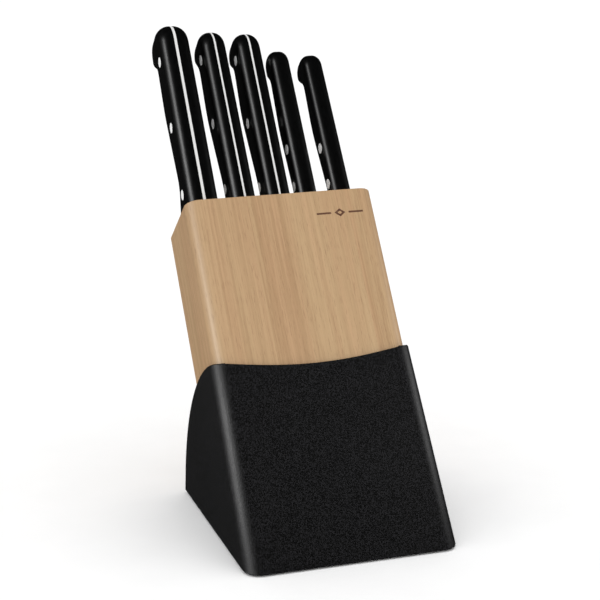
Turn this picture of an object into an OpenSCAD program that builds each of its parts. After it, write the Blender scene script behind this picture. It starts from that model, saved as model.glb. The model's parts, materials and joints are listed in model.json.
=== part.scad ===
// Knife block: a leaning block of glued beech boards stands in a hollow moulded base.
// Five knives hang in its slots, spines to the front, and each draws out along the lean.
// Origin: middle of the overall box, on the plane the feet rest on. +Y is to the back, +Z up.

/* [Wood] */
// Width of the wooden block, across the knives
wood_w = 114.5; // [112:0.5:116]
// Depth of the wooden block, square to its front face
wood_t = 53; // [53:1:60]
// Top of the wood above the front bottom edge of the base, along the lean
wood_top = 224.4; // [222:0.2:240]
// Radius of the wood's two front corners
wood_r = 8; // [4:1:9]
// Lean of the block and its knives back from upright, in degrees
lean = 35; // [32:1:36]

/* [Base] */
// Width of the base at the table
base_w = 123.8; // [122.2:0.4:127.8]
// Depth of the base at the table
base_d = 144.5; // [142:0.5:150]
// Height of the front rim at its corners, along the lean
rim_s = 122; // [116:1:126]
// Depth of the dip in the middle of the front rim
rim_dip = 5; // [3:0.2:8]
// Radius of the arc that the side rims and the back follow
rear_r = 105; // [100:1:125]
// Radius of the base's two front corners
base_r = 9; // [6:1:12]
// Wall thickness of the base
wall = 2.2; // [1.8:0.1:2.6]
// Thickness of the bottom plate
plate_t = 3; // [2.5:0.5:4]
// How far the rubber feet stand below the base
foot_h = 1; // [0.8:0.2:2]

/* [Large knives] */
// Blade length of the chef's knife
chef_l = 200; // [180:5:200]
// Blade length of the bread knife
bread_l = 200; // [180:5:200]
// Blade length of the carving knife
carving_l = 180; // [150:5:200]
// Blade width of the chef's knife
chef_w = 39; // [34:1:39]
// Blade width of the bread knife
bread_w = 27; // [24:1:32]
// Blade width of the carving knife
carving_w = 29; // [26:1:34]
// Steel thickness of the chef's knife
chef_t = 1.7; // [1.5:0.1:2.4]
// Steel thickness of the bread and carving knives
large_t = 1.2; // [1.1:0.1:2]

/* [Small knives] */
// Blade length of the utility knife
utility_l = 125; // [110:5:150]
// Blade length of the paring knife
paring_l = 90; // [75:5:110]
// Blade width of the utility knife
utility_w = 22; // [18:1:24]
// Blade width of the paring knife
paring_w = 19; // [17:1:21]
// Steel thickness of the two small knives
small_t = 1.4; // [1.2:0.1:1.8]

/* [Handles] */
// Thickness of the chef's knife handle
chef_grip = 18.8; // [16:0.2:19]
// Thickness of the bread and carving knife handles
large_grip = 15.2; // [13:0.2:16]
// Thickness of the small knife handles
small_grip = 12.2; // [10.4:0.2:13]
// Diameter of the rivets
rivet_dia = 6.4; // [5:0.2:7]

/* [Hidden] */
$fn = 64;
large_fn = 256;

wood_colour = [0.73, 0.59, 0.43];
plastic_colour = [0.10, 0.10, 0.11];
steel_colour = [0.78, 0.79, 0.80];
rubber_colour = [0.16, 0.16, 0.16];

over = 1;            // how far a cutter runs past what it cuts
rim_gap = 0.3;       // between the wood and the inside of the base's walls at the rim
pocket_gap = 0.15;   // between the wood and the edge of the base's rear panel
plate_gap = 0.3;     // round the bottom plate
arc_steps = 8;       // straight steps in each rounded corner of an outline
blade_steps = 24;    // straight steps along a blade's edge
dip_steps = 48;      // straight steps along the front rim's dip
dip_margin = 4;      // the dip ends this far in from each side
dip_power = 1.2;     // how smoothly it starts
dip_lift = 0.2;      // its cut starts this far above the rim's front edge
dip_ends = [1.5, 1]; // and then runs out this far sideways and up

// The base
wood_d = wall + rim_gap;                     // front face of the wood behind the base's front
rim_half = wood_w / 2 + rim_gap + wall;      // half width of the base at its rim
side_taper = (base_w / 2 - rim_half) / rim_s;
rim_front = rim_s * [sin(lean), cos(lean)];
rear_foot = [base_d, 0];
rim_chord = rear_foot - rim_front;
rear_centre = (rim_front + rear_foot) / 2
    + sqrt(rear_r * rear_r - rim_chord * rim_chord / 4) * [rim_chord.y, -rim_chord.x] / norm(rim_chord);
dip_half = rim_half - dip_margin;
plate_top = foot_h + plate_t;

// Posts in the base for the plate's screws, from the front bottom edge
post_x = 46;
post_ys = [96, 124];
post_r = 4;
post_h = 22;
post_rib_t = 2;
plate_screw_r = 1.75;
plate_screw_l = 14;
// Screws into the wood
block_screw_xs = [-32, 30.5];
block_screw_ys = [34, 58];
block_screw_r = 2;
block_screw_l = 26;
head_ratio = 1.9;
screw_gap = 0.1;
// Rubber feet
foot_r = 6;
foot_x = 48;
foot_ys = [16, 108];
foot_seat = 1;

// Knives, left to right: chef, bread, carving, utility, paring
knife_x = [-44.3, -19.9, 1.8, 19.7, 41];
blade_t = [chef_t, large_t, large_t, small_t, small_t];
blade_w = [chef_w, bread_w, carving_w, utility_w, paring_w];
blade_l = [chef_l, bread_l, carving_l, utility_l, paring_l];
blade_spine = [1.1, 0, 0, 0.2, 0.2];     // spine of the blade behind the front of the handle
tip_drop = [7, 5, 5, 5, 4];              // how far the tip sits behind the spine
edge_power = [2.8, 9, 4.5, 3, 2.4];      // how late the edge sweeps up to the tip
spine_straight = 0.6;                    // share of a blade before its spine curves to the tip
heel_h = 4;                              // heel of the blade below the handle
choil_x = 16;                            // where the heel is cut away behind the spine
spine_d = 9.3;                           // spines behind the base's front
slot_play = 0.4;                         // on each side of a blade
slot_ends = 1;                           // in front of and behind a blade
seam_x = [for (i = [0:4]) knife_x[i] - blade_t[i] / 2 - slot_play];
board_x = concat([-wood_w / 2], seam_x, [wood_w / 2]);

// Handle outlines: [behind the spine, above the wood, corner radius]
chef_outline = [
    [0.2, 0, 0], [-1.2, 126.2, 14], [31.4, 124.2, 12], [32.8, 107.4, 4], [24, 102.6, 8],
    [26.6, 70, 90], [22.6, 21, 16], [32, 6, 5], [32.5, 0, 0]
];
bread_outline = [
    [-1, 0, 0], [0, 120.6, 13], [29.5, 118.6, 10.5], [31.2, 108.4, 4], [24.2, 99.4, 8],
    [27.2, 66, 80], [20.4, 20, 50], [20.6, 0, 0]
];
carving_outline = [
    [-0.4, 0, 0], [-0.4, 118.2, 13], [28, 116.2, 10.5], [29.6, 104.4, 4], [22.6, 98.2, 8],
    [26.6, 66, 80], [20.4, 20, 50], [20.6, 0, 0]
];
utility_outline = [
    [-1.2, 0, 0], [-0.4, 103.6, 10], [18.6, 102, 9], [19.6, 90, 3], [14.8, 84.6, 7],
    [17.6, 50, 90], [14.4, 12, 60], [14.4, 0, 0]
];
paring_outline = [
    [-1.4, 0, 0], [1.6, 100.6, 10], [23.6, 99, 9], [24.6, 89, 3], [16.4, 81.6, 7],
    [18.6, 50, 90], [13.8, 10, 60], [13.8, 0, 0]
];
outlines = [chef_outline, bread_outline, carving_outline, utility_outline, paring_outline];
grips = [chef_grip, large_grip, large_grip, small_grip, small_grip];
grip_r = [5.8, 5.6, 5.2, 4.8, 4.6];      // rounding along the handle's spine and belly
grip_depth = [32.6, 31, 29.4, 19.5, 24.5]; // depth of the handle over its hook
butt_flat = 0.1;                         // share of the grip left flat at the butt
rivet_at = [
    [[10.6, 101.2], [11.5, 56.6], [13.6, 12.9]],
    [[11.4, 101.5], [11.6, 57.8], [12.4, 14.1]],
    [[10.7, 99.7], [11.6, 56.6], [13.8, 14.4]],
    [[6.4, 34.7], [7.2, 10.1]],
    [[6.6, 34.2], [5.8, 9.8]]
];
rivet_r = rivet_dia / 2;
rivet_gap = 0.08;
tang_l = 60;                             // half tang inside a small handle
tang_w = 10;
tang_gap = 0.1;
serration_pitch = 7;
serration_r = 5;
serration_depth = 1.3;
serrated = 0.86;                         // share of the bread knife's edge with serrations

// A corner of an outline as an arc of radius r, between its neighbours a and b
function unit(v) = v / norm(v);
function turned(v, angle) = [v.x * cos(angle) - v.y * sin(angle), v.x * sin(angle) + v.y * cos(angle)];
function corner(a, p, b, r) =
    r == 0 ? [p] :
    let (
        ua = unit(a - p),
        ub = unit(b - p),
        half = acos(ua * ub) / 2,
        start = p + ua * r / tan(half),
        centre = p + unit(ua + ub) * r / sin(half),
        turn = (cross(ua, ub) > 0 ? -1 : 1) * (180 - 2 * half)
    )
    [for (i = [0:arc_steps]) centre + turned(start - centre, turn * i / arc_steps)];
function flat2(p) = [p.x, p.y];
function rounded(pts) =
    let (n = len(pts))
    [for (i = [0:n - 1])
        for (q = corner(flat2(pts[(i + n - 1) % n]), flat2(pts[i]), flat2(pts[(i + 1) % n]), pts[i].z)) q];

// The overall box runs back from the base's front edge to the rearmost handle; mid_y is its middle
reach = max([for (outline = outlines) for (p = rounded(outline))
    (spine_d + p.x) * cos(lean) + (wood_top + p.y) * sin(lean)]);
mid_y = reach / 2;

// Moves a shape into the leaning frame: x across, y square to the front face, z along the lean
module leaned() {
    translate([0, -mid_y, foot_h]) rotate([-lean, 0, 0]) children();
}

// Moves a shape into a knife's own frame, with its origin where the spine leaves the wood
module at_knife(i) {
    leaned() translate([knife_x[i], spine_d, wood_top]) children();
}

// Extrudes an outline of (y, z) across x, from x0 to x1
module across(x0, x1) {
    translate([x0, 0, 0]) rotate([90, 0, 90]) linear_extrude(x1 - x0) children();
}

// Extrudes an outline of (x, z) back along y, from y0 to y1
module back(y0, y1) {
    translate([0, y1, 0]) rotate([90, 0, 0]) linear_extrude(y1 - y0) children();
}

// What a front corner loses to its rounding; the corner stands at the origin, x inwards is negative
module corner_waste(r, h) {
    difference() {
        translate([-r, -over, -h]) cube([r + over, r + over, 2 * h]);
        translate([-r, r, -h - over]) cylinder(r = r, h = 2 * (h + over));
    }
}

/* Wood */

// The whole wooden block before it is cut off flat below, grown by gap at its sides and back
module wood_prism(gap = 0) {
    half = wood_w / 2 + gap;
    difference() {
        translate([-half, wood_d - gap, 0]) cube([2 * half, wood_t + 2 * gap, wood_top]);
        for (side = [0, 1]) mirror([side, 0, 0])
            translate([half, wood_d - gap, 0]) corner_waste(wood_r, wood_top + over);
    }
}

module wood_slot(i) {
    translate([seam_x[i] - over, spine_d + blade_spine[i] - slot_ends, -over])
        cube([blade_t[i] + 2 * slot_play + over, blade_w[i] + 2 * slot_ends, wood_top + 2 * over]);
}

module wood_board(n) {
    color(wood_colour) difference() {
        leaned() intersection() {
            wood_prism();
            translate([board_x[n - 1], 0, -over])
                cube([board_x[n] - board_x[n - 1], base_d, wood_top + 2 * over]);
        }
        if (n > 1) leaned() wood_slot(n - 2);
        translate([-base_w, -base_d, plate_top - base_d]) cube([2 * base_w, 3 * base_d, base_d]);
        for (x = block_screw_xs) if (x > board_x[n - 1] && x < board_x[n]) for (y = block_screw_ys)
            translate([x, y - mid_y, foot_h])
                cylinder(r = block_screw_r + screw_gap, h = block_screw_l + over);
    }
}

/* Base */

function base_half(s) = base_w / 2 - side_taper * s;

// Height along the lean to which the front rim is cut at x
function dipped_rim(x) =
    rim_s + dip_lift - (rim_dip + dip_lift) * pow(1 - pow(x / dip_half, 2), dip_power);

// The base's outer form, or with an inset the space inside walls of that thickness
module base_form(inset = 0) {
    low = inset > 0 ? -over : 0;
    high = 2 * rim_s;
    intersection() {
        leaned() difference() {
            back(inset, base_d + over) polygon([
                [-base_half(-rim_s) + inset, -rim_s], [base_half(-rim_s) - inset, -rim_s],
                [base_half(high) - inset, high], [-base_half(high) + inset, high]
            ]);
            for (side = [0, 1]) mirror([side, 0, 0])
                translate([base_half(0) - inset, inset, 0]) rotate([0, -atan(side_taper), 0])
                    corner_waste(base_r - inset, high);
        }
        translate([0, -mid_y, foot_h]) across(-base_w, base_w) intersection() {
            translate(rear_centre) circle(r = rear_r - inset, $fn = large_fn);
            translate([-base_d, low]) square([3 * base_d, rear_r + base_d]);
        }
    }
}

module screw_post(side, y) {
    translate([side * post_x, y - mid_y, plate_top]) {
        cylinder(r = post_r, h = post_h);
        translate([side > 0 ? 0 : post_x - rim_half + over / 2, -post_rib_t / 2, 0])
            cube([rim_half - post_x - over / 2, post_rib_t, post_h]);
    }
}

module base_shell() {
    color(plastic_colour) difference() {
        union() {
            difference() {
                base_form();
                base_form(wall);
            }
            for (side = [-1, 1]) for (y = post_ys) screw_post(side, y);
        }
        leaned() wood_prism(pocket_gap);
        leaned() back(-over, wood_d) polygon(concat(
            [for (k = [0:dip_steps]) let (x = dip_half * (2 * k / dip_steps - 1)) [x, dipped_rim(x)]],
            [for (side = [1, -1]) [side * (dip_half + dip_ends.x), rim_s + dip_lift + dip_ends.y]]
        ));
        for (side = [-1, 1]) for (y = post_ys)
            translate([side * post_x, y - mid_y, foot_h])
                cylinder(r = plate_screw_r + screw_gap, h = plate_screw_l + over);
    }
}

// A countersunk screw that stands point up, its head flush with the plane z = 0, grown by gap
module screw(r, l, gap = 0) {
    head_r = r * head_ratio;
    cylinder(r1 = head_r + gap, r2 = r + gap, h = head_r - r);
    cylinder(r = r + gap, h = l);
}

module slotted_screw(r, l) {
    difference() {
        screw(r, l);
        translate([-2 * r, -r / 5, -over]) cube([4 * r, r / 2.5, over + r / 2]);
    }
}

module base_plate() {
    color(plastic_colour) difference() {
        intersection() {
            base_form(wall + plate_gap);
            translate([-base_w, -base_d, foot_h]) cube([2 * base_w, 2 * base_d, plate_t]);
        }
        for (side = [-1, 1]) {
            for (y = post_ys) translate([side * post_x, y - mid_y, foot_h])
                screw(plate_screw_r, plate_t + over, screw_gap);
            for (y = foot_ys) translate([side * foot_x, y - mid_y, foot_h - over])
                cylinder(r = foot_r + screw_gap, h = foot_seat + over);
        }
        for (x = block_screw_xs) for (y = block_screw_ys) translate([x, y - mid_y, foot_h])
            screw(block_screw_r, plate_t + over, screw_gap);
    }
}

module block_screws() {
    color(steel_colour) for (x = block_screw_xs) for (y = block_screw_ys)
        translate([x, y - mid_y, foot_h]) slotted_screw(block_screw_r, block_screw_l);
}

module plate_screws() {
    color(steel_colour) for (side = [-1, 1]) for (y = post_ys)
        translate([side * post_x, y - mid_y, foot_h]) slotted_screw(plate_screw_r, plate_screw_l);
}

module rubber_feet() {
    color(rubber_colour) for (side = [-1, 1]) for (y = foot_ys)
        translate([side * foot_x, y - mid_y, 0]) cylinder(r = foot_r, h = foot_h + foot_seat);
}

/* Knives */

module rivet_holes(i) {
    for (p = rivet_at[i]) translate([-grips[i], p.x, p.y]) rotate([0, 90, 0])
        cylinder(r = rivet_r + rivet_gap, h = 2 * grips[i]);
}

// Distance of the cutting edge behind the handle's front, t from 0 at the heel to 1 at the tip
function edge_at(i, t) =
    blade_spine[i] + tip_drop[i] + (blade_w[i] - tip_drop[i]) * (1 - pow(t, edge_power[i]));

// Distance of the blade's spine behind the handle's front, t from 0 at the handle to 1 at the tip
function spine_at(i, t) = blade_spine[i] + tip_drop[i] * pow((t - spine_straight) / (1 - spine_straight), 2);

// Blade below a tang, as points from its heel along the edge to the tip and back up the spine
function blade_points(i) =
    let (l = blade_l[i])
    concat(
        [[min(edge_at(i, 0), choil_x), -over / 2]],
        [for (k = [0:blade_steps]) let (t = k / blade_steps) [edge_at(i, t), -heel_h - t * (l - heel_h)]],
        [for (k = [blade_steps - 1:-1:0])
            let (t = k / blade_steps) if (t > spine_straight) [spine_at(i, t), -l * t]],
        [[blade_spine[i], -l * spine_straight], [blade_spine[i], -over / 2]]
    );

module serrations(i) {
    last = floor(blade_l[i] * serrated / serration_pitch);
    for (k = [1:last]) translate([
        blade_spine[i] + blade_w[i] + serration_r - serration_depth, -heel_h - k * serration_pitch])
        circle(r = serration_r);
}

module full_tang_blade(i) {
    color(steel_colour) at_knife(i) difference() {
        across(-blade_t[i] / 2, blade_t[i] / 2) difference() {
            polygon(concat(rounded(outlines[i]), blade_points(i)));
            if (i == 1) serrations(i);
        }
        rivet_holes(i);
    }
}

// The handle's form: outline, rounded spine and belly, rounded butt
module grip_form(i) {
    half = grips[i] / 2;
    r = grip_r[i];
    front = min(outlines[i][0].x, outlines[i][1].x);
    top = outlines[i][1].y;
    intersection() {
        across(-half, half) polygon(rounded(outlines[i]));
        translate([0, 0, -over]) linear_extrude(top + 2 * over) polygon(rounded([
            [-half, front, r], [half, front, r], [half, grip_depth[i], r], [-half, grip_depth[i], r]]));
        back(-grips[i], 3 * grips[i]) polygon(rounded([
            [-half, -over, 0], [half, -over, 0], [half, top, half * (1 - butt_flat)],
            [-half, top, half * (1 - butt_flat)]]));
    }
}

module scale_half(i, side) {
    color(plastic_colour) at_knife(i) difference() {
        intersection() {
            grip_form(i);
            mirror([side > 0 ? 0 : 1, 0, 0]) translate([blade_t[i] / 2, -grips[i], 0])
                cube([grips[i], 4 * grips[i], blade_l[i]]);
        }
        rivet_holes(i);
    }
}

module rivets(i) {
    color(steel_colour) at_knife(i) for (p = rivet_at[i])
        translate([-grips[i] / 2, p.x, p.y]) rotate([0, 90, 0]) cylinder(r = rivet_r, h = grips[i]);
}

module half_tang_blade(i) {
    front = rivet_at[i][0].x - tang_w / 2;
    color(steel_colour) at_knife(i) difference() {
        across(-blade_t[i] / 2, blade_t[i] / 2) polygon(concat(
            [[front, -over / 2], [front, tang_l], [front + tang_w, tang_l], [front + tang_w, -over / 2]],
            blade_points(i)
        ));
        rivet_holes(i);
    }
}

module one_piece_handle(i) {
    color(plastic_colour) at_knife(i) difference() {
        grip_form(i);
        translate([-blade_t[i] / 2 - tang_gap, rivet_at[i][0].x - tang_w / 2 - tang_gap, -over])
            cube([blade_t[i] + 2 * tang_gap, tang_w + 2 * tang_gap, tang_l + tang_gap + over]);
        rivet_holes(i);
    }
}

wood_board(1);  // wood_board_1
wood_board(2);  // wood_board_2
wood_board(3);  // wood_board_3
wood_board(4);  // wood_board_4
wood_board(5);  // wood_board_5
wood_board(6);  // wood_board_6
base_shell();
base_plate();
block_screws();
plate_screws();
rubber_feet();
full_tang_blade(0);  // chef_blade
scale_half(0, -1);  // chef_scale_left
scale_half(0, 1);  // chef_scale_right
rivets(0);  // chef_rivets
full_tang_blade(1);  // bread_blade
scale_half(1, -1);  // bread_scale_left
scale_half(1, 1);  // bread_scale_right
rivets(1);  // bread_rivets
full_tang_blade(2);  // carving_blade
scale_half(2, -1);  // carving_scale_left
scale_half(2, 1);  // carving_scale_right
rivets(2);  // carving_rivets
half_tang_blade(3);  // utility_blade
one_piece_handle(3);  // utility_handle
rivets(3);  // utility_rivets
half_tang_blade(4);  // paring_blade
one_piece_handle(4);  // paring_handle
rivets(4);  // paring_rivets
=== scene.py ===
"""Looks of a leaning knife block with five knives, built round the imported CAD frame. Metres, +Z up."""

import json
from math import atan2, cos, pi, radians, sin, sqrt, tan

import bmesh
import bpy
import numpy as np
from mathutils import Matrix, Vector


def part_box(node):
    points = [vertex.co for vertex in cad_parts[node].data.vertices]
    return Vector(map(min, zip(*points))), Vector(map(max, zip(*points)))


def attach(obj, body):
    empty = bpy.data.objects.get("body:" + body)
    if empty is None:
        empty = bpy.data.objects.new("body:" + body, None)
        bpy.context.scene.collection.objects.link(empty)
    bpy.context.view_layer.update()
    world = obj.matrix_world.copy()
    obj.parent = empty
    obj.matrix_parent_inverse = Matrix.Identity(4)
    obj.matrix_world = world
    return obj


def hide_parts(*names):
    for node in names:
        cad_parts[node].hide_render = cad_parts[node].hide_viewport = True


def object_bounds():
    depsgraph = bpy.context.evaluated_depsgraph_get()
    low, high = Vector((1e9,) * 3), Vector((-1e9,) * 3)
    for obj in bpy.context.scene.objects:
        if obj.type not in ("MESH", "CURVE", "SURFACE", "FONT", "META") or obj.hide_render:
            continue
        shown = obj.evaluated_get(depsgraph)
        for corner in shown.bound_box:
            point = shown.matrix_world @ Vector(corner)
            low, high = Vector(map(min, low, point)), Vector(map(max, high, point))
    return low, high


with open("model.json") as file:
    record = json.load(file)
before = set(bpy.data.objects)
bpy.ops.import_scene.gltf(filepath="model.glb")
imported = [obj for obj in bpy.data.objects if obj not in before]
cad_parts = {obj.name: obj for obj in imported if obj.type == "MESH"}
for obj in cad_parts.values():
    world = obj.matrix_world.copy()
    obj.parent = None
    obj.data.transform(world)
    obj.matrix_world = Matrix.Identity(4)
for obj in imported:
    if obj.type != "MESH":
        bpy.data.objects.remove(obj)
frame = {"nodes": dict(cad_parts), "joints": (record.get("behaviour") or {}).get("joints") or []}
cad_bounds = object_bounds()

MM = 0.001

# ---------------------------------------------------------------- the leaning frame, from the CAD

KNIVES = ["chef", "bread", "carving", "utility", "paring"]
FULL_TANGS = 3         # the first three have full tangs between two scales
SERRATED_KNIFE = KNIVES.index("bread")
SLIDE_AXIS = Vector(frame["joints"][0]["axis"])
LEAN = atan2(SLIDE_AXIS.y, SLIDE_AXIS.z)
SHELL_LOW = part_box("base_shell")[0]
FRONT_EDGE = Vector((0, SHELL_LOW.y, SHELL_LOW.z))     # the base's front bottom edge
PLATE_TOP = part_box("base_plate")[1].z
BOARDS = [f"wood_board_{n}" for n in range(1, 7)]

WOOD_TOP = 224.4        # mm along the lean, from the front bottom edge
WOOD_FRONT = 2.5        # mm behind the base's front
WOOD_DEPTH = 53.0
WOOD_CORNER = 8.0
SPINE_DEPTH = 9.3       # mm from the base's front to the knives' spines
SLOT_PLAY = 0.4
SLOT_ENDS = 1.0


def leaned(x, depth, along):
    """A point in metres: x across, depth square to the front face, along the lean, all in mm."""
    return Vector((
        x * MM,
        FRONT_EDGE.y + (depth * cos(LEAN) + along * sin(LEAN)) * MM,
        FRONT_EDGE.z + (along * cos(LEAN) - depth * sin(LEAN)) * MM,
    ))


def along_lean(point):
    """How far along the lean a point in metres lies, in mm."""
    return ((point.y - FRONT_EDGE.y) * sin(LEAN) + (point.z - FRONT_EDGE.z) * cos(LEAN)) / MM


def span_x(node):
    low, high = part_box(node)
    return low.x / MM, high.x / MM


# ---------------------------------------------------------------- mesh helpers

def new_piece(name, vertices, faces, material, smooth_below=35):
    """A piece from points in metres and faces, smooth but for edges sharper than smooth_below degrees."""
    mesh = bpy.data.meshes.new(name)
    mesh.from_pydata([tuple(v) for v in vertices], [], faces)
    mesh.validate()
    return finished(name, mesh, material, smooth_below)


def finished(name, mesh, material, smooth_below=35):
    """The welded mesh as a piece in the scene, with edges sharper than smooth_below degrees kept sharp."""
    work = bmesh.new()
    work.from_mesh(mesh)
    bmesh.ops.remove_doubles(work, verts=work.verts, dist=1e-6)
    bmesh.ops.dissolve_degenerate(work, edges=work.edges, dist=1e-7)
    bmesh.ops.recalc_face_normals(work, faces=work.faces)
    work.to_mesh(mesh)
    work.free()
    mesh.shade_smooth()
    mesh.set_sharp_from_angle(angle=radians(smooth_below))
    mesh.materials.clear()
    mesh.materials.append(material)
    piece = bpy.data.objects.new(name, mesh)
    bpy.context.scene.collection.objects.link(piece)
    return piece


def stand_in(piece, body, slot, *nodes):
    """The piece rides on a body and is shown in place of CAD nodes."""
    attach(piece, body)
    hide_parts(*nodes)
    return piece


def cad_copy(node):
    """A welded copy of a CAD node's mesh, its flat faces whole."""
    work = bmesh.new()
    work.from_mesh(frame["nodes"][node].data)
    bmesh.ops.remove_doubles(work, verts=work.verts, dist=1e-6)
    bmesh.ops.dissolve_limit(
        work, angle_limit=radians(0.4), verts=work.verts, edges=work.edges, use_dissolve_boundaries=False)
    return work


def softened(name, node, material, width, wanted, segments=3, smooth_below=32):
    """A CAD node's shape with a soft rounding of this width in mm along its wanted edges."""
    work = cad_copy(node)
    edges = [
        e for e in work.edges
        if len(e.link_faces) == 2 and e.calc_face_angle(0) > radians(30) and e.is_convex and wanted(e)
    ]
    bmesh.ops.bevel(
        work, geom=edges, offset=width * MM, offset_type="OFFSET", segments=segments, profile=0.5,
        affect="EDGES", clamp_overlap=False)
    mesh = bpy.data.meshes.new(name)
    work.to_mesh(mesh)
    work.free()
    return finished(name, mesh, material, smooth_below)


def united(first, second, name, material, smooth_below):
    """One closed mesh from two overlapping ones."""
    join = first.modifiers.new("join", "BOOLEAN")
    join.operation = "UNION"
    join.solver = "EXACT"
    join.object = second
    bpy.context.view_layer.update()
    evaluated = first.evaluated_get(bpy.context.evaluated_depsgraph_get())
    mesh = bpy.data.meshes.new_from_object(evaluated)
    mesh.name = name
    for old in (first, second):
        bpy.data.objects.remove(old)
    return finished(name, mesh, material, smooth_below)


def loft(rings):
    """Vertices and faces of a closed tube through rings of equally many points."""
    count = len(rings[0])
    vertices = [p for ring in rings for p in ring]
    faces = []
    for r in range(len(rings) - 1):
        for k in range(count):
            a, b = r * count + k, r * count + (k + 1) % count
            faces.append((a, b, b + count, a + count))
    faces.append(tuple(range(count))[::-1])
    faces.append(tuple(range(len(vertices) - count, len(vertices))))
    return vertices, faces


# ---------------------------------------------------------------- material helpers

class Tree:
    """Short names for building one material's nodes."""

    def __init__(self, name, **settings):
        self.material = bpy.data.materials.new(name)
        self.material.use_nodes = True
        self.tree = self.material.node_tree
        self.shader = self.tree.nodes["Principled BSDF"]
        for socket, value in settings.items():
            self.shader.inputs[socket.replace("_", " ")].default_value = value

    def node(self, kind, inputs=(), **properties):
        made = self.tree.nodes.new("ShaderNode" + kind)
        for key, value in properties.items():
            setattr(made, key, value)
        for key, value in dict(inputs).items():
            self.put(made.inputs[key], value)
        return made

    def put(self, socket, value):
        if isinstance(value, bpy.types.NodeSocket):
            self.tree.links.new(value, socket)
        elif isinstance(value, bpy.types.Node):
            self.tree.links.new(value.outputs[0], socket)
        else:
            socket.default_value = value

    def math(self, operation, a, b=0.0, clamp=False):
        return self.node("Math", {0: a, 1: b}, operation=operation, use_clamp=clamp).outputs[0]

    def coordinates(self, scale=(1, 1, 1), shift=(0, 0, 0), lean=LEAN):
        """Object coordinates turned so that z runs along the lean, then scaled."""
        base = self.node("TexCoord").outputs["Object"]
        turned = self.node("Mapping", {"Vector": base, "Rotation": (lean, 0, 0)})
        return self.node("Mapping", {"Vector": turned, "Location": shift, "Scale": scale}).outputs[0]

    def noise(self, coordinates, scale, detail=3.0, roughness=0.5, distortion=0.0):
        inputs = {
            "Vector": coordinates, "Scale": scale, "Detail": detail, "Roughness": roughness,
            "Distortion": distortion}
        return self.node("TexNoise", inputs).outputs["Fac"]

    def ramp(self, value, *stops):
        """A colour ramp; each stop is (position, colour or grey)."""
        made = self.node("ValToRGB", {"Fac": value})
        elements = made.color_ramp.elements
        while len(elements) > 1:
            elements.remove(elements[-1])
        for n, (position, colour) in enumerate(stops):
            element = elements[0] if n == 0 else elements.new(position)
            element.position = position
            grey = isinstance(colour, (int, float))
            element.color = (colour, colour, colour, 1) if grey else (*colour, 1)
        return made.outputs[0]

    def mix(self, factor, a, b):
        made = self.node("Mix", data_type="RGBA")
        self.put(made.inputs["Factor"], factor)
        for socket, value in ((made.inputs[6], a), (made.inputs[7], b)):
            self.put(socket, (*value, 1) if isinstance(value, tuple) else value)
        return made.outputs[2]

    def bump(self, height, distance, strength=1.0, normal=None):
        made = self.node("Bump", {"Height": height, "Distance": distance, "Strength": strength})
        if normal is not None:
            self.put(made.inputs["Normal"], normal)
        return made.outputs[0]

    def surface(self, **links):
        for socket, value in links.items():
            self.put(self.shader.inputs[socket.replace("_", " ")], value)
        return self.material


# ---------------------------------------------------------------- materials

MARK_X, MARK_ALONG = 34.0, 209.5                # middle of the burnt ornament on the wood's front, mm
MARK_DIAMOND = (3.4, 2.7)                       # half width and half height of its diamond
MARK_LINE = (5.4, 14.5, 0.65)                   # its lines' inner end, outer end and half thickness
MARK_SOFT = 0.12                                # width over which its edges fade
MARK_HOLLOW = 0.45                              # share of the diamond left unburnt inside its ring
MARK_REACH = 1                                  # how far behind the front face it may lie
BEECH_DARK = (0.375, 0.216, 0.095)
BEECH_MID = (0.505, 0.325, 0.165)
BEECH_LIGHT = (0.59, 0.402, 0.214)
BEECH_PINK = (0.52, 0.314, 0.162)
FLECK = (0.25, 0.120, 0.050)
BURNT = (0.12, 0.040, 0.016)


def burnt_mark(t):
    """1 inside a burnt ornament of a diamond between two lines, 0 outside."""
    at = t.node("SeparateXYZ", {0: t.coordinates()})
    origin = leaned(0, 0, 0)
    turned = Matrix.Rotation(LEAN, 3, "X") @ origin
    across = t.math("ABSOLUTE", t.math("SUBTRACT", at.outputs["X"], MARK_X * MM))
    along = t.math("ABSOLUTE", t.math("SUBTRACT", at.outputs["Z"], turned.z + MARK_ALONG * MM))
    soft = MARK_SOFT * MM

    def inside(distance):
        return t.math("DIVIDE", distance, -soft, clamp=True)

    half_w, half_h = MARK_DIAMOND
    slanted = t.math("ADD", t.math("MULTIPLY", across, half_h / half_w), along)
    rim = t.math("SUBTRACT", slanted, half_h * MM)
    core = t.math("SUBTRACT", slanted, MARK_HOLLOW * half_h * MM)
    ring = t.math("SUBTRACT", inside(rim), inside(core))
    inner, outer, half = MARK_LINE
    middle, reach = (inner + outer) / 2, (outer - inner) / 2
    ends = t.math("SUBTRACT", t.math("ABSOLUTE", t.math("SUBTRACT", across, middle * MM)), reach * MM)
    line = t.math("MULTIPLY", inside(ends), inside(t.math("SUBTRACT", along, half * MM)))
    front = t.math("LESS_THAN", at.outputs["Y"], turned.y + (WOOD_FRONT + MARK_REACH) * MM)
    return t.math("MULTIPLY", t.math("MAXIMUM", ring, line), front)


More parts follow.
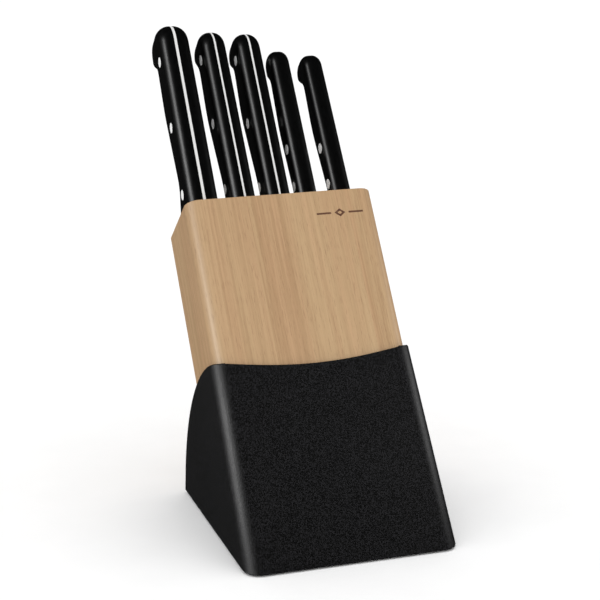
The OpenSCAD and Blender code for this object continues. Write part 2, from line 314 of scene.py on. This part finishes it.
def beech(board):
    """Oiled beech whose grain runs along the lean; each board has its own figure."""
    t = Tree(f"beech_{board}", Roughness=0.46, Specular_IOR_Level=0.55)
    shift = (0.31 * board, 0.17 * board, 0.23 * board)
    bands = t.noise(t.coordinates((1, 0.35, 0.035), shift), 75, 2.0, 0.5, 0.3)
    figure = t.noise(t.coordinates((1, 0.5, 0.012), shift), 760, 4.0, 0.65)
    colour = t.ramp(bands, (0.32, BEECH_MID), (0.5, BEECH_PINK), (0.62, BEECH_MID), (0.75, BEECH_LIGHT))
    colour = t.mix(t.ramp(figure, (0.40, 0.0), (0.62, 0.62)), colour, BEECH_DARK)
    tint = t.noise(t.coordinates((1, 1, 0.15), shift), 18, 1.0)
    colour = t.mix(t.ramp(tint, (0.35, 0.0), (0.7, 0.35)), colour, BEECH_LIGHT)
    flecks = t.noise(t.coordinates((1, 0.6, 0.06), shift), 2400, 2.0, 0.5)
    fleck = t.ramp(flecks, (0.58, 0.0), (0.72, 0.45))
    colour = t.mix(fleck, colour, FLECK)
    mark = burnt_mark(t)
    scorch = t.noise(t.coordinates(), 900, 2.0)
    colour = t.mix(t.math("MULTIPLY", mark, t.ramp(scorch, (0.2, 0.75), (0.6, 1.0))), colour, BURNT)
    grain = t.bump(t.math("SUBTRACT", figure, t.math("MULTIPLY", fleck, 0.8)), 0.00006, 0.6)
    normal = t.bump(t.math("MULTIPLY", mark, -1.0), 0.0002, 0.7, grain)
    rough = t.ramp(figure, (0.2, 0.40), (0.8, 0.54))
    return t.surface(Base_Color=colour, Roughness=rough, Normal=normal)


def base_plastic():
    """Near-black moulded plastic with a fine spark-eroded grain."""
    t = Tree("base_plastic", Specular_IOR_Level=0.8)
    at = t.coordinates()
    grain = t.noise(at, 1550, 1.0, 0.7)
    cloud = t.noise(at, 45, 2.0)
    colour = t.ramp(grain, (0.46, (0.0004, 0.0004, 0.0007)), (0.60, (0.0105, 0.0098, 0.0150)))
    rough = t.math("ADD", t.ramp(grain, (0.3, 0.42), (0.7, 0.56)), t.ramp(cloud, (0.3, -0.03), (0.7, 0.03)))
    return t.surface(Base_Color=colour, Roughness=rough, Normal=t.bump(grain, 0.00016, 0.7))


def handle_plastic():
    """Satin black handle plastic, faintly orange-peeled and rubbed along its length."""
    t = Tree("handle_plastic", Specular_IOR_Level=0.45)
    at = t.coordinates()
    peel = t.noise(at, 700, 2.0, 0.5)
    rub = t.noise(t.coordinates((1, 1, 0.06)), 1500, 2.0, 0.6)
    colour = t.ramp(peel, (0.3, (0.0008, 0.0008, 0.0009)), (0.7, (0.0022, 0.0022, 0.0024)))
    rough = t.math("ADD", t.ramp(rub, (0.3, 0.27), (0.7, 0.37)), t.ramp(peel, (0.3, -0.02), (0.7, 0.02)))
    return t.surface(Base_Color=colour, Roughness=rough, Normal=t.bump(peel, 0.00003, 0.5))


def blade_steel():
    """Satin steel, ground across the blade."""
    t = Tree("blade_steel", Metallic=0.6, Anisotropic=0.4)
    lines = t.noise(t.coordinates((1, 0.05, 1)), 2600, 3.0, 0.7)
    patches = t.noise(t.coordinates((1, 0.3, 1)), 60, 2.0)
    colour = t.ramp(lines, (0.25, (0.62, 0.63, 0.64)), (0.75, (0.76, 0.77, 0.78)))
    rough = t.math("ADD", t.ramp(lines, (0.2, 0.28), (0.8, 0.40)), t.ramp(patches, (0.3, -0.03), (0.7, 0.04)))
    return t.surface(Base_Color=colour, Roughness=rough, Normal=t.bump(lines, 0.00002, 0.4))


SCRATCH_GAIN = 1.12      # how much lighter a scratch is than the metal
SCRATCH_ROUGH = 0.12     # and how much rougher


def bright_metal(name, colour, rough, metallic):
    """Turned and polished metal with fine, lighter scratches; with a low metallic, its light colour is a
    painted shine.
    """
    t = Tree(name, Metallic=metallic)
    scratches = t.noise(t.coordinates((1, 0.15, 1)), 3800, 2.0, 0.7)
    light = tuple(min(1.0, c * SCRATCH_GAIN) for c in colour)
    tone = t.ramp(scratches, (0.3, colour), (0.7, light))
    rub = t.ramp(scratches, (0.25, rough), (0.75, rough + SCRATCH_ROUGH))
    return t.surface(Base_Color=tone, Roughness=rub, Normal=t.bump(scratches, 0.00001, 0.3))


def rubber():
    """Dusty dark rubber."""
    t = Tree("rubber", Specular_IOR_Level=0.3)
    dust = t.noise(t.coordinates(), 1400, 3.0, 0.6)
    colour = t.ramp(dust, (0.3, (0.018, 0.018, 0.018)), (0.75, (0.045, 0.044, 0.043)))
    return t.surface(
        Base_Color=colour, Roughness=t.ramp(dust, (0.2, 0.7), (0.8, 0.9)), Normal=t.bump(dust, 0.00008, 0.5))


def studio_floor():
    """Plain pale paper."""
    t = Tree("studio_floor", Specular_IOR_Level=0.1)
    paper = t.noise(t.coordinates(lean=0), 30, 3.0)
    return t.surface(
        Base_Color=t.ramp(paper, (0.3, (0.95, 0.95, 0.95)), (0.7, (0.97, 0.97, 0.97))),
        Roughness=t.ramp(paper, (0.2, 0.85), (0.8, 0.95)))


BASE_PLASTIC = base_plastic()
HANDLE_PLASTIC = handle_plastic()
BLADE_STEEL = blade_steel()
# The rivets are painted near-white and made barely metallic: a painted shine in place of the polished metal's
# reflections.
RIVET_PAINTED_SHINE = bright_metal("rivet_metal", (0.9, 0.9, 0.89), 0.42, 0.05)
# The tang's steel is painted lighter and less metallic than the blade's: a painted reflection along the tang
# between the scales.
TANG_PAINTED_REFLECTION = bright_metal("tang_painted_reflection", (0.84, 0.84, 0.83), 0.45, 0.2)
SCREW_STEEL = bright_metal("screw_steel", (0.58, 0.58, 0.60), 0.26, 0.7)
RUBBER = rubber()

# ---------------------------------------------------------------- wood

EDGE_SOFT = 0.4        # rounding of the wood's outer top edges, mm
MOUTH_SOFT = 0.35      # and of the slots' mouths
TOP_STEPS = 4          # rings over the softened top edges
CORNER_STEPS = 12      # points round a front corner


def board_plan(left, right, slot, first, last):
    """A board's outline seen along the lean: [x, depth, softness of the edge that follows]."""
    front, back = WOOD_FRONT, WOOD_FRONT + WOOD_DEPTH
    plan = []
    if first:
        for k in range(CORNER_STEPS + 1):
            a = pi + k * pi / 2 / CORNER_STEPS
            plan.append([left + WOOD_CORNER * (1 + cos(a)), front + WOOD_CORNER * (1 + sin(a)), EDGE_SOFT])
    else:
        plan.append([left, front, EDGE_SOFT])
    if last:
        for k in range(CORNER_STEPS + 1):
            a = 1.5 * pi + k * pi / 2 / CORNER_STEPS
            plan.append([right - WOOD_CORNER * (1 - cos(a)), front + WOOD_CORNER * (1 + sin(a)), EDGE_SOFT])
        plan.append([right, back, EDGE_SOFT])
    else:
        plan.append([right, front, 0])
        plan.append([right, back, EDGE_SOFT])
    plan.append([left, back, EDGE_SOFT if first else 0])
    if slot:
        wide, near, far = slot
        plan.append([left, far, MOUTH_SOFT])
        plan.append([left + wide, far, MOUTH_SOFT])
        plan.append([left + wide, near, MOUTH_SOFT])
        plan.append([left, near, 0])
    return plan


def inset(plan, share):
    """The outline with each edge moved in by its softness times share."""
    count = len(plan)
    lines = []
    for k in range(count):
        a, b = np.array(plan[k][:2]), np.array(plan[(k + 1) % count][:2])
        along = (b - a) / np.linalg.norm(b - a)
        inward = np.array([-along[1], along[0]])
        lines.append((a + inward * plan[k][2] * share, along))
    points = []
    for k in range(count):
        (p, u), (q, v) = lines[k - 1], lines[k]
        cross = u[0] * v[1] - u[1] * v[0]
        if abs(cross) < 1e-6:
            points.append(q)
        else:
            d = q - p
            points.append(p + u * (d[0] * v[1] - d[1] * v[0]) / cross)
    return points


def build_board(n):
    """A board from its foot on the base plate to its softened top, with its slot if it has one."""
    left, right = span_x(BOARDS[n])
    slot = None
    if n > 0:
        blade_left, blade_right = span_x(f"{KNIVES[n - 1]}_blade")
        near = SPINE_DEPTH + BLADE_SPINE[n - 1] - SLOT_ENDS
        slot = (blade_right - blade_left + 2 * SLOT_PLAY, near, near + BLADE_WIDTH[n - 1] + 2 * SLOT_ENDS)
    plan = board_plan(left, right, slot, n == 0, n == len(BOARDS) - 1)
    low = (PLATE_TOP - FRONT_EDGE.z) / MM
    rings = [[leaned(x, depth, (low + depth * sin(LEAN)) / cos(LEAN)) for x, depth, _ in plan]]
    for k in range(TOP_STEPS + 1):
        a = pi / 2 * k / TOP_STEPS
        drop = EDGE_SOFT * (1 - sin(a))
        rings.append([leaned(p[0], p[1], WOOD_TOP - drop) for p in inset(plan, 1 - cos(a))])
    vertices, faces = loft(rings)
    board = new_piece(f"{BOARDS[n]}_wood", vertices, faces, beech(n + 1), 25)
    return stand_in(board, "block", "beech", BOARDS[n])


# ---------------------------------------------------------------- knives: shapes, in mm

# Handle outlines from the foot of the spine to the foot of the belly; each corner is
# (behind the spine line, above the wood's top, corner radius)
CHEF_OUTLINE = [
    (0.2, 0, 0), (-1.2, 126.2, 14), (31.4, 124.2, 12), (32.8, 107.4, 4), (24, 102.6, 8),
    (26.6, 70, 90), (22.6, 21, 16), (32, 6, 5), (32.5, 0, 0),
]
BREAD_OUTLINE = [
    (-1, 0, 0), (0, 120.6, 13), (29.5, 118.6, 10.5), (31.2, 108.4, 4), (24.2, 99.4, 8),
    (27.2, 66, 80), (20.4, 20, 50), (20.6, 0, 0),
]
CARVING_OUTLINE = [
    (-0.4, 0, 0), (-0.4, 118.2, 13), (28, 116.2, 10.5), (29.6, 104.4, 4), (22.6, 98.2, 8),
    (26.6, 66, 80), (20.4, 20, 50), (20.6, 0, 0),
]
UTILITY_OUTLINE = [
    (-1.2, 0, 0), (-0.4, 103.6, 10), (18.6, 102, 9), (19.6, 90, 3), (14.8, 84.6, 7),
    (17.6, 50, 90), (14.4, 12, 60), (14.4, 0, 0),
]
PARING_OUTLINE = [
    (-1.4, 0, 0), (1.6, 100.6, 10), (23.6, 99, 9), (24.6, 89, 3), (16.4, 81.6, 7),
    (18.6, 50, 90), (13.8, 10, 60), (13.8, 0, 0),
]
OUTLINES = [CHEF_OUTLINE, BREAD_OUTLINE, CARVING_OUTLINE, UTILITY_OUTLINE, PARING_OUTLINE]
# Each handle's middle line, from the wood's top to its butt's centre
HEARTS = [
    ((12, 0), (13.5, 111)), ((11, 0), (13.5, 104)), ((11, 0), (13.5, 104)),
    ((7.3, 0), (9.8, 91)), ((6.8, 0), (12, 88)),
]
GRIP_ROUND = [5.8, 5.6, 5.2, 4.8, 4.6]     # rounding radius of each handle's edges
CROWN = 0.45            # how much the flanks bulge
CROWN_REACH = 1.8       # how far in from the edge the bulge is full, in rounding radii
DOME_FLAT = 0.35        # left straight beside the tang where the dome is fullest
BUTT_LENGTH = 16.0      # stretch over which the rounding grows to a dome
FOOT_ROUND = 0.6        # rounding where the handle meets the wood
# Rivet centres, measured like the outlines
RIVETS = [
    [(10.6, 101.2), (11.5, 56.6), (13.6, 12.9)],
    [(11.4, 101.5), (11.6, 57.8), (12.4, 14.1)],
    [(10.7, 99.7), (11.6, 56.6), (13.8, 14.4)],
    [(6.4, 34.7), (7.2, 10.1)],
    [(6.6, 34.2), (5.8, 9.8)],
]
BLADE_LENGTH = [200, 200, 180, 125, 90]
BLADE_WIDTH = [39, 27, 29, 22, 19]
BLADE_SPINE = [1.1, 0, 0, 0.2, 0.2]        # each blade's spine, behind the spine line
TIP_DROP = [7, 5, 5, 5, 4]                 # how far each spine drops towards the tip
EDGE_POWER = [2.8, 9, 4.5, 3, 2.4]         # a larger power keeps the edge straight for longer
SPINE_STRAIGHT = 0.6                       # share of the blade before its spine drops
HEEL = 4.0                                 # where the full width starts, below the handle
CHOIL = 16.0                               # the furthest that an edge starts behind the spine line
TANG_LENGTH, TANG_WIDTH = 60.0, 10.0
# The bread knife's scallops, and the share of the blade that has them
SERRATION_PITCH, SERRATION_R, SERRATION_DEPTH, SERRATED = 7.0, 5.0, 1.3, 0.86


def arc_corner(a, p, b, r, step):
    """A corner as points along an arc of radius r, about step apart."""
    ua, ub = (a - p) / np.linalg.norm(a - p), (b - p) / np.linalg.norm(b - p)
    half = np.arccos(np.clip(ua @ ub, -1, 1)) / 2
    start = p + ua * r / tan(half)
    middle = (ua + ub) / np.linalg.norm(ua + ub)
    centre = p + middle * r / sin(half)
    sense = -1 if ua[0] * ub[1] - ua[1] * ub[0] > 0 else 1
    turn = sense * (pi - 2 * half)
    steps = max(4, int(abs(turn) * r / step))
    spoke = start - centre
    return [
        centre + np.array([
            spoke[0] * cos(turn * k / steps) - spoke[1] * sin(turn * k / steps),
            spoke[0] * sin(turn * k / steps) + spoke[1] * cos(turn * k / steps)])
        for k in range(steps + 1)
    ]


def outline_points(outline, step=0.9, long_step=2.2):
    """Dense points round a handle from the foot of its spine, over the butt, to the foot of its belly."""
    corners = [np.array(c[:2], float) for c in outline]
    rough = [corners[0]]
    for k in range(1, len(outline) - 1):
        rough += arc_corner(corners[k - 1], corners[k], corners[k + 1], outline[k][2], step)
    rough.append(corners[-1])
    points = [rough[0]]
    for p in rough[1:]:
        gap = np.linalg.norm(p - points[-1])
        pieces = max(1, int(gap / long_step))
        start = points[-1]
        points += [start + (p - start) * (j + 1) / pieces for j in range(pieces)]
    return np.array(points)


def edge_distance(points, rim):
    """Distance of each point to the outline, its open foot left out."""
    a, b = rim[:-1], rim[1:]
    along = b - a
    t = ((points[:, None] - a) * along).sum(2) / (along ** 2).sum(1)
    nearest = a + np.clip(t, 0, 1)[..., None] * along
    return np.linalg.norm(points[:, None] - nearest, axis=2).min(1)


class Grip:
    """One handle's form: how far its flank stands from the middle plane at a point of its outline."""

    def __init__(self, i):
        self.i = i
        left, right = span_x(f"{KNIVES[i]}_rivets")
        self.x = (left + right) / 2
        self.half = (right - left) / 2
        blade_left, blade_right = span_x(f"{KNIVES[i]}_blade")
        self.blade_half = (blade_right - blade_left) / 2
        self.rim = outline_points(OUTLINES[i])
        self.top = self.rim[:, 1].max()
        self.body = f"{KNIVES[i]}_knife"

    def flank(self, points):
        near = edge_distance(points, self.rim)
        side = GRIP_ROUND[self.i]
        dome = self.half - CROWN - self.blade_half - DOME_FLAT
        rise = np.clip((points[:, 1] - self.top + BUTT_LENGTH) / BUTT_LENGTH, 0, 1)
        r = side + (dome - side) * rise * rise * (3 - 2 * rise)
        lost = r - np.sqrt(np.maximum(r ** 2 - np.maximum(r - near, 0) ** 2, 0))
        crown = CROWN * (1 - np.clip(near / (CROWN_REACH * side), 0, 1)) ** 2
        foot = FOOT_ROUND - np.clip(points[:, 1], 0, FOOT_ROUND)
        foot = FOOT_ROUND - np.sqrt(FOOT_ROUND ** 2 - foot ** 2)
        return self.half - lost - crown - foot

    def place(self, x, behind, above):
        return leaned(self.x + x, SPINE_DEPTH + behind, WOOD_TOP + above)


RING_STEPS = 9         # rings over the rounded edge
INNER_RINGS = 5        # rings over the flank
RING_SPREAD = 1.25     # width that the rings over the edge take, in rounding radii
RING_LIMIT = 0.7       # and the most of the way to the middle line


def flank_rings(grip):
    """Rings of points from the outline in to the handle's middle line, with the flank's height at each."""
    rim = grip.rim
    (u0, h0), (u1, h1) = HEARTS[grip.i]
    share = np.clip((rim[:, 1] - h0) / (h1 - h0), 0, 1)
    heart = np.stack([u0 + (u1 - u0) * share, h0 + (h1 - h0) * share], 1)
    reach = np.linalg.norm(heart - rim, axis=1)
    r = GRIP_ROUND[grip.i] * RING_SPREAD
    rings = []
    for k in range(RING_STEPS + 1):
        cut = np.minimum(r * (1 - cos(pi / 2 * k / RING_STEPS)), RING_LIMIT * reach)
        rings.append(rim + (heart - rim) * (cut / reach)[:, None])
    last = rings[-1]
    for k in range(1, INNER_RINGS + 1):
        rings.append(last + (heart - last) * k / INNER_RINGS)
    return [(ring, grip.flank(ring)) for ring in rings]


def scale_mesh(grip, side, inner):
    """One half of a handle, from its flat inner face at inner mm out to its flank."""
    rings = flank_rings(grip)
    count = len(grip.rim)
    vertices = [grip.place(side * inner, u, h) for u, h in grip.rim]
    for ring, height in rings:
        vertices += [grip.place(side * max(x, inner), u, h) for (u, h), x in zip(ring, height)]
    faces = [tuple(range(count))]
    for r in range(len(rings)):
        for k in range(count - 1):
            a = r * count + k
            faces.append((a, a + 1, a + 1 + count, a + count))
    first = [r * count for r in range(len(rings) + 1)]
    last = [r * count + count - 1 for r in range(len(rings) + 1)]
    faces.append(tuple(first + last[::-1]))
    return vertices, faces


def build_scales(grip):
    """The two scales of a full-tang handle."""
    name = KNIVES[grip.i]
    for side, word in ((-1, "left"), (1, "right")):
        vertices, faces = scale_mesh(grip, side, grip.blade_half)
        piece = new_piece(f"{name}_scale_{word}_shaped", vertices, faces, HANDLE_PLASTIC, 40)
        stand_in(piece, grip.body, "handle_plastic", f"{name}_scale_{word}")


def build_one_piece(grip):
    """A handle moulded in one piece round a half tang: its two halves share the middle plane."""
    name = KNIVES[grip.i]
    rings = flank_rings(grip)
    count = len(grip.rim)
    vertices = []
    for side in (-1, 1):
        order = rings if side > 0 else rings[::-1]
        for ring, height in order:
            vertices += [grip.place(side * x, u, h) for (u, h), x in zip(ring, height)]
    faces = []
    rows = 2 * len(rings)
    for r in range(rows - 1):
        for k in range(count - 1):
            a = r * count + k
            faces.append((a, a + 1, a + 1 + count, a + count))
    first = [r * count for r in range(rows)]
    last = [r * count + count - 1 for r in range(rows)]
    faces.append(tuple(first + last[::-1]))
    piece = new_piece(f"{name}_handle_shaped", vertices, faces, HANDLE_PLASTIC, 40)
    stand_in(piece, grip.body, "handle_plastic", f"{name}_handle")


# ---------------------------------------------------------------- rivets

RIVET_R = 3.2
RIVET_SPOKES = 40
RIVET_PROUD = 0.04     # mm the rivets stand out of the flanks
RIVET_EDGE = 0.12      # width of the chamfer round a rivet's face
RIVET_INNER = 0.6      # radius of the innermost ring, over the rivet's


def rivet_head(grip, at, side):
    """Rings of a rivet's end, ground flush with the flank: rim, small chamfer, face."""
    rings = []
    steps = [
        (RIVET_R, -RIVET_EDGE), (RIVET_R - RIVET_EDGE, RIVET_PROUD), (RIVET_INNER * RIVET_R, RIVET_PROUD)]
    for radius, rise in steps:
        angles = np.linspace(0, 2 * pi, RIVET_SPOKES, endpoint=False)
        points = np.stack([at[0] + radius * np.cos(angles), at[1] + radius * np.sin(angles)], 1)
        height = grip.flank(points)
        rings.append([grip.place(side * (x + rise), u, h) for (u, h), x in zip(points, height)])
    return rings


def build_rivets(grip):
    """A knife's rivets, each right through the handle."""
    name = KNIVES[grip.i]
    vertices, faces = [], []
    for at in RIVETS[grip.i]:
        rings = rivet_head(grip, at, -1)[::-1] + rivet_head(grip, at, 1)
        pin, pin_faces = loft(rings)
        faces += [tuple(v + len(vertices) for v in f) for f in pin_faces]
        vertices += pin
    piece = new_piece(f"{name}_rivets_ground", vertices, faces, RIVET_PAINTED_SHINE, 20)
    stand_in(piece, grip.body, "rivet_metal", f"{name}_rivets")


# ---------------------------------------------------------------- blades

BEVEL = 1.4            # width of the cutting bevel, mm
BEVEL_HALF = 0.22      # half thickness behind the bevel
EDGE_HALF = 0.03       # half thickness of the cutting edge
SPINE_SOFT = 0.25      # chamfer of the spine
BLADE_SHARE = 0.98     # thickness at the spine, over the tang's
BLADE_THINNING = 0.45  # share of it lost towards the tip
TIP_CROWDING = 1.35    # a larger power draws the cross-sections closer to the tip
BLADE_STEP = 2.5       # distance between cross-sections
SERRATED_STEP = 0.5
LEAST_WIDTH = 0.4      # width that the edge keeps from the spine
INTO_TANG = 3.0        # how far the blade's mesh reaches into the tang before they are joined


def spine_at(i, t):
    """Where the spine lies behind the spine line, at share t of the blade's length."""
    bent = max(0.0, (t - SPINE_STRAIGHT) / (1 - SPINE_STRAIGHT))
    return BLADE_SPINE[i] + TIP_DROP[i] * bent ** 2


def edge_at(i, t):
    """Where the cutting edge lies behind the spine line, at share t of its length."""
    return BLADE_SPINE[i] + TIP_DROP[i] + (BLADE_WIDTH[i] - TIP_DROP[i]) * (1 - t ** EDGE_POWER[i])


def scallop(i, below):
    """How deep the bread knife's scallops cut in at this distance below the handle."""
    first = HEEL + SERRATION_PITCH / 2
    last = BLADE_LENGTH[i] * SERRATED + SERRATION_PITCH / 2
    if i != SERRATED_KNIFE or not first <= below <= last:
        return 0.0
    along = (below - HEEL + SERRATION_PITCH / 2) % SERRATION_PITCH - SERRATION_PITCH / 2
    return max(0.0, sqrt(max(SERRATION_R ** 2 - along ** 2, 0)) - SERRATION_R + SERRATION_DEPTH)


def blade_ring(grip, below, spine, edge, thin):
    """One cross-section of a blade, from its spine to its edge and back along the other side."""
    half = BLADE_SHARE * grip.blade_half * thin
    width = edge - spine
    bevel = min(BEVEL, 0.3 * width)
    behind = min(BEVEL_HALF, half)
    profile = [
        (0, half - SPINE_SOFT * thin),
        (min(SPINE_SOFT, 0.1 * width), half),
        (0.3 * width, 0.92 * half + 0.08 * behind),
        (0.65 * width, 0.5 * (half + behind)),
        (width - bevel, behind),
        (width, EDGE_HALF),
    ]
    right = [grip.place(x, spine + u, -below) for u, x in profile]
    left = [grip.place(-x, spine + u, -below) for u, x in profile[::-1]]
    return right + left


def blade_rings(grip):
    """A blade's cross-sections, from inside the tang to the tip."""
    i = grip.i
    length = BLADE_LENGTH[i]
    start = spine_at(i, 0)
    choil = min(edge_at(i, 0), CHOIL)
    rings = [
        blade_ring(grip, -INTO_TANG, start + 0.3, choil - 0.6, 1.0),
        blade_ring(grip, 0.0, start, choil, 1.0),
    ]
    step = SERRATED_STEP if i == SERRATED_KNIFE else BLADE_STEP
    count = int((length - HEEL) / step)
    for k in range(count):
        share = k / count
        t = share if i == SERRATED_KNIFE else 1 - (1 - share) ** TIP_CROWDING
        below = HEEL + t * (length - HEEL)
        spine = spine_at(i, below / length)
        edge = max(edge_at(i, t) - scallop(i, below), spine + LEAST_WIDTH)
        rings.append(blade_ring(grip, below, spine, edge, 1 - BLADE_THINNING * t))
    tip = spine_at(i, 1)
    rings.append(blade_ring(grip, length - 0.05, tip, tip + 0.15, 0.3))
    return rings


def plate_rings(grip, points, soft=0.12):
    """A flat plate of the blade's thickness with lightly broken edges, as two outlines and their chamfers."""
    half = grip.blade_half
    middle = points.mean(0)
    rings = []
    for x, move in ((-half, soft), (-half + soft, 0), (half - soft, 0), (half, soft)):
        inward = middle - points
        inward /= np.linalg.norm(inward, axis=1)[:, None]
        rings.append([grip.place(x, u, h) for u, h in points + inward * move])
    return rings


def tang_points(grip):
    """Outline of the tang: the handle's own, or a narrow half tang."""
    if grip.i < FULL_TANGS:
        return grip.rim
    u = RIVETS[grip.i][0][0]
    half = TANG_WIDTH / 2
    return np.array([(u - half, 0), (u - half, TANG_LENGTH), (u + half, TANG_LENGTH), (u + half, 0)], float)


def build_blade(grip):
    """Blade and tang in one piece; what lies above the wood has a lighter, less metallic copy of the steel, a
    painted reflection.
    """
    name = KNIVES[grip.i]
    blade = new_piece("blade_part", *loft(blade_rings(grip)), BLADE_STEEL)
    tang = new_piece("tang_part", *loft(plate_rings(grip, tang_points(grip))), BLADE_STEEL)
    piece = united(blade, tang, f"{name}_blade_ground", BLADE_STEEL, 14)
    # Faces above the wood get the painted-reflection copy of the steel.
    piece.data.materials.append(TANG_PAINTED_REFLECTION)
    for face in piece.data.polygons:
        if along_lean(face.center) > WOOD_TOP:
            face.material_index = 1
    stand_in(piece, grip.body, "blade_steel", f"{name}_blade")


# ---------------------------------------------------------------- base

def on_outside(edge):
    """True for an edge of the base's outer form or of its rim, and not of its inside or its screw posts."""
    low = min(v.co.z for v in edge.verts)
    return low > PLATE_TOP + 0.5 * MM or all(v.co.z < FRONT_EDGE.z + 0.1 * MM for v in edge.verts)


def build_base():
    """The base and its small parts: the CAD forms with softened edges."""
    shell = softened("base_shell_moulded", "base_shell", BASE_PLASTIC, 0.6, on_outside)
    stand_in(shell, "block", "base_plastic", "base_shell")
    plate = softened("base_plate_moulded", "base_plate", BASE_PLASTIC, 0.3, lambda e: True, 2)
    stand_in(plate, "block", "base_plastic", "base_plate")
    for node in ("block_screws", "plate_screws"):
        screws = softened(f"{node}_cut", node, SCREW_STEEL, 0.12, lambda e: True, 2)
        stand_in(screws, "block", "screw_steel", node)
    feet = softened("rubber_feet_moulded", "rubber_feet", RUBBER, 0.35, lambda e: True, 3)
    stand_in(feet, "block", "rubber", "rubber_feet")


# ---------------------------------------------------------------- studio

CAMERA_FROM_BASE = (-0.28871, -0.83134, 0.36368)     # from the middle of the base's front bottom edge
CAMERA_AZIMUTH, CAMERA_ELEVATION, CAMERA_ROLL = radians(-17.3), radians(13.77), radians(-0.98)
CAMERA_LENS, SENSOR = 103.5, 36.0


def build_camera():
    """The camera at the photograph's viewing angle."""
    a, e, roll = CAMERA_AZIMUTH, CAMERA_ELEVATION, CAMERA_ROLL
    back = Vector((sin(a) * cos(e), -cos(a) * cos(e), sin(e)))
    right = Vector((cos(a), sin(a), 0))
    up = back.cross(right)
    turned_right = right * cos(roll) + up * sin(roll)
    turned_up = up * cos(roll) - right * sin(roll)
    data = bpy.data.cameras.new("camera")
    data.lens = CAMERA_LENS
    data.sensor_width = SENSOR
    camera = bpy.data.objects.new("camera", data)
    axes = Matrix((turned_right, turned_up, back)).transposed()
    at = Vector(CAMERA_FROM_BASE) + FRONT_EDGE
    camera.matrix_world = Matrix.Translation(at) @ axes.to_4x4()
    bpy.context.scene.collection.objects.link(camera)
    bpy.context.scene.camera = camera


def softbox(name, azimuth, elevation, distance, size, power):
    """A rectangular lamp for highlights only, in a direction given in degrees; azimuth 0 is in front."""
    a, e = radians(azimuth), radians(elevation)
    centre = (cad_low + cad_high) / 2
    away = Vector((sin(a) * cos(e), -cos(a) * cos(e), sin(e)))
    data = bpy.data.lights.new(name, "AREA")
    data.shape = "RECTANGLE"
    data.size, data.size_y = size
    data.energy = power
    lamp = bpy.data.objects.new(name, data)
    lamp.location = centre + away * distance
    lamp.rotation_euler = away.to_track_quat("Z", "Y").to_euler()
    lamp.visible_diffuse = False
    lamp.visible_camera = False
    bpy.context.scene.collection.objects.link(lamp)


FLOOR_HALF = 20          # half the floor's width
WORLD_LIGHT = 1.14       # strength of the white room
WORLD_MIRRORED = 0.015   # and of what the object's gloss sees of it


def build_studio():
    """Floor, white room and two lamps for highlights."""
    corners = [(x * FLOOR_HALF, y * FLOOR_HALF, 0) for x, y in ((-1, -1), (1, -1), (1, 1), (-1, 1))]
    floor = new_piece("studio_floor", corners, [(0, 1, 2, 3)], studio_floor())
    floor.visible_glossy = False
    world = bpy.data.worlds.new("studio")
    world.use_nodes = True
    nodes, links = world.node_tree.nodes, world.node_tree.links
    background = nodes["Background"]
    background.inputs["Color"].default_value = (1, 1, 1, 1)
    path = nodes.new("ShaderNodeLightPath")
    strength = nodes.new("ShaderNodeMapRange")
    strength.inputs["To Min"].default_value = WORLD_LIGHT
    strength.inputs["To Max"].default_value = WORLD_MIRRORED
    links.new(path.outputs["Is Glossy Ray"], strength.inputs["Value"])
    links.new(strength.outputs[0], background.inputs["Strength"])
    bpy.context.scene.world = world
    softbox("left_box", azimuth=-86, elevation=24, distance=1.4, size=(0.50, 1.0), power=13)
    softbox("right_box", azimuth=80, elevation=16.7, distance=0.62, size=(0.25, 0.16), power=0.75)
    bpy.context.scene.view_settings.view_transform = "Standard"


# ---------------------------------------------------------------- everything

cad_low, cad_high = Vector(cad_bounds[0]), Vector(cad_bounds[1])
build_camera()
for number in range(len(BOARDS)):
    build_board(number)
build_base()
for index in range(len(KNIVES)):
    handle = Grip(index)
    if index < FULL_TANGS:
        build_scales(handle)
    else:
        build_one_piece(handle)
    build_rivets(handle)
    build_blade(handle)
build_studio()
